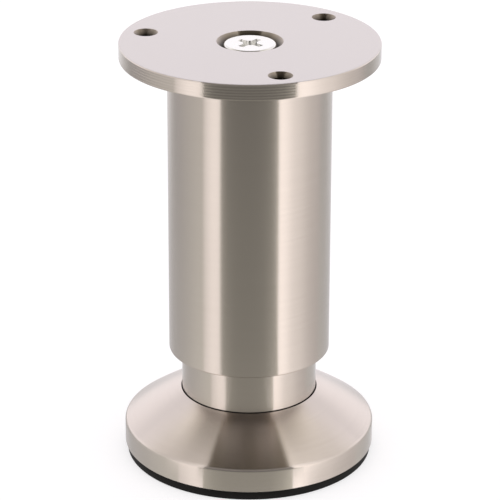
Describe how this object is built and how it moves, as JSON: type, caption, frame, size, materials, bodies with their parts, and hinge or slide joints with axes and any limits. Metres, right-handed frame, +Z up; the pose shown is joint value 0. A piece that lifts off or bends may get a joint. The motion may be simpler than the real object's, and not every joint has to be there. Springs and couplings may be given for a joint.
{
  "type": "adjustable cabinet leg",
  "caption": "Round cabinet leg with a sunk-hole fixing plate, a brushed tube, and a screw-out neck and crowned foot on a black pad for setting the height.",
  "frame": {"origin": "centre of the underside of the pad, on the floor, on the axis of the leg", "axes": "+Z up along the leg to the fixing plate; +X to the right and -Y towards the viewer of the picture"},
  "size_m": [0.079, 0.079, 0.1348],
  "materials": {
    "brushed_plate": "steel plate with a fine satin nickel face and a turned rim",
    "brushed_tube": "steel tube in satin nickel, brushed round the axis",
    "brushed_sleeve": "steel neck tube in satin nickel, brushed round the axis",
    "brushed_foot": "foot in satin nickel, brushed in rings",
    "zinc_plated": "bright zinc plate on steel",
    "plain_steel": "plain mill steel, hidden inside the tube",
    "black_plastic": "moulded black nylon",
    "pad_plastic": "moulded black plastic pad, satin"
  },
  "bodies": {
    "leg": {"mounting_plate": "brushed_plate", "plate_screw": "zinc_plated", "outer_tube": "brushed_tube", "top_disc": "plain_steel", "top_nut": "plain_steel", "nut_disc": "plain_steel", "spindle_nut": "plain_steel", "guide_bush": "black_plastic"},
    "pad_carrier": {"pad": "pad_plastic"},
    "foot": {"foot_disc": "brushed_foot", "sleeve": "brushed_sleeve", "sleeve_cap": "black_plastic", "cap_nut": "zinc_plated", "spindle": "zinc_plated", "spindle_washer": "zinc_plated"}
  },
  "joints": [
    {"name": "height_slide", "type": "slide", "parent": "leg", "child": "pad_carrier", "axis": [0, 0, 1], "range_m": [-0.006, 0.0135]},
    {"name": "foot_turn", "type": "hinge", "parent": "pad_carrier", "child": "foot", "pos_m": [0, 0, 0], "axis": [0, 0, 1], "range_deg": [-1440, 3240]}
  ],
  "couplings": [
    {"joint": "height_slide", "follows": "foot_turn", "m_per_rad": 0.00023873}
  ]
}
